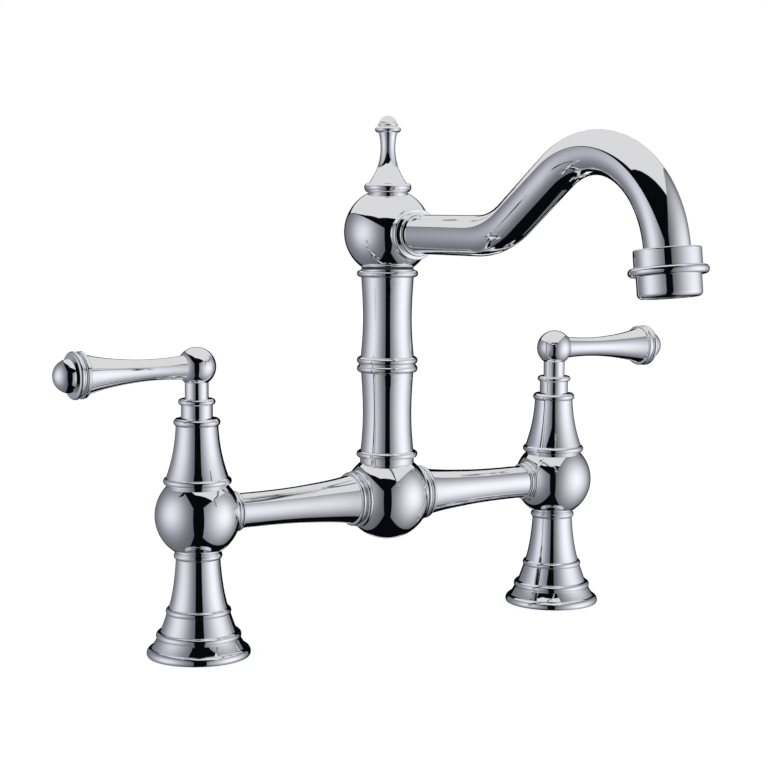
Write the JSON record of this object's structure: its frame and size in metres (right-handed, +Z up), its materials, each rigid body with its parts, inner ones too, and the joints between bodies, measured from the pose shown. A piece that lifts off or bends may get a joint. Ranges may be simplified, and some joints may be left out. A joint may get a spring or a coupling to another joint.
{
  "type": "bridge kitchen faucet",
  "caption": "Deck-mounted bridge kitchen faucet with two lever valves, a centre column and a swivelling swan-neck spout.",
  "frame": {"origin": "on the deck plane, midway between the two inlets", "axes": "+X along the bridge towards the right pillar, spout points along -Y at rest, +Z up"},
  "size_m": [0.34, 0.2345, 0.2448],
  "materials": {
    "chrome": "polished chrome plate on brass",
    "brass": "machined brass",
    "rubber": "moulded nitrile rubber",
    "ceramic": "lapped alumina ceramic",
    "steel": "stainless steel",
    "nylon": "moulded acetal, dark",
    "mesh": "moulded grey plastic"
  },
  "bodies": {
    "faucet_body": {"left_base_gasket": "rubber", "left_base_flange": "chrome", "left_inlet_tail": "brass", "left_pillar_ball": "chrome", "left_cartridge_seal": "rubber", "left_cartridge_body": "brass", "left_fixed_disc": "ceramic", "left_bonnet": "chrome", "left_bridge_arm": "chrome", "left_arm_o_rings": "rubber", "left_inner_collar": "chrome", "left_outer_collar": "chrome", "right_base_gasket": "rubber", "right_base_flange": "chrome", "right_inlet_tail": "brass", "right_pillar_ball": "chrome", "right_cartridge_seal": "rubber", "right_cartridge_body": "brass", "right_fixed_disc": "ceramic", "right_bonnet": "chrome", "right_bridge_arm": "chrome", "right_arm_o_rings": "rubber", "right_inner_collar": "chrome", "right_outer_collar": "chrome", "centre_ball": "chrome", "column_base_collar": "chrome", "lower_column": "chrome", "column_joint_ring": "chrome", "upper_column": "chrome", "column_top_collar": "chrome", "swivel_post": "brass", "swivel_o_rings": "rubber", "swivel_washer": "steel", "swivel_nut": "brass"},
    "left_lever": {"left_moving_disc": "ceramic", "left_spindle": "brass", "left_spindle_o_rings": "rubber", "left_lever_hub": "chrome", "left_grub_screw": "steel", "left_lever_ball": "chrome", "left_lever_arm": "chrome", "left_lever_tip": "chrome"},
    "right_lever": {"right_moving_disc": "ceramic", "right_spindle": "brass", "right_spindle_o_rings": "rubber", "right_lever_hub": "chrome", "right_grub_screw": "steel", "right_lever_ball": "chrome", "right_lever_arm": "chrome", "right_lever_tip": "chrome"},
    "spout": {"swivel_bush": "nylon", "spout_ball": "chrome", "finial": "chrome", "spout_collar": "chrome", "spout_tube": "chrome", "outlet_boss": "chrome", "aerator_washer": "rubber", "aerator_housing": "chrome", "aerator_insert": "mesh"}
  },
  "joints": [
    {"name": "left_lever_turn", "type": "hinge", "parent": "faucet_body", "child": "left_lever", "pos_m": [-0.1016, 0, 0.1], "axis": [0, 0, 1], "range_deg": [0, 90]},
    {"name": "right_lever_turn", "type": "hinge", "parent": "faucet_body", "child": "right_lever", "pos_m": [0.1016, 0, 0.1], "axis": [0, 0, 1], "range_deg": [-90, 0]},
    {"name": "spout_swivel", "type": "hinge", "parent": "faucet_body", "child": "spout", "pos_m": [0, 0, 0.18], "axis": [0, 0, 1], "continuous": true}
  ]
}
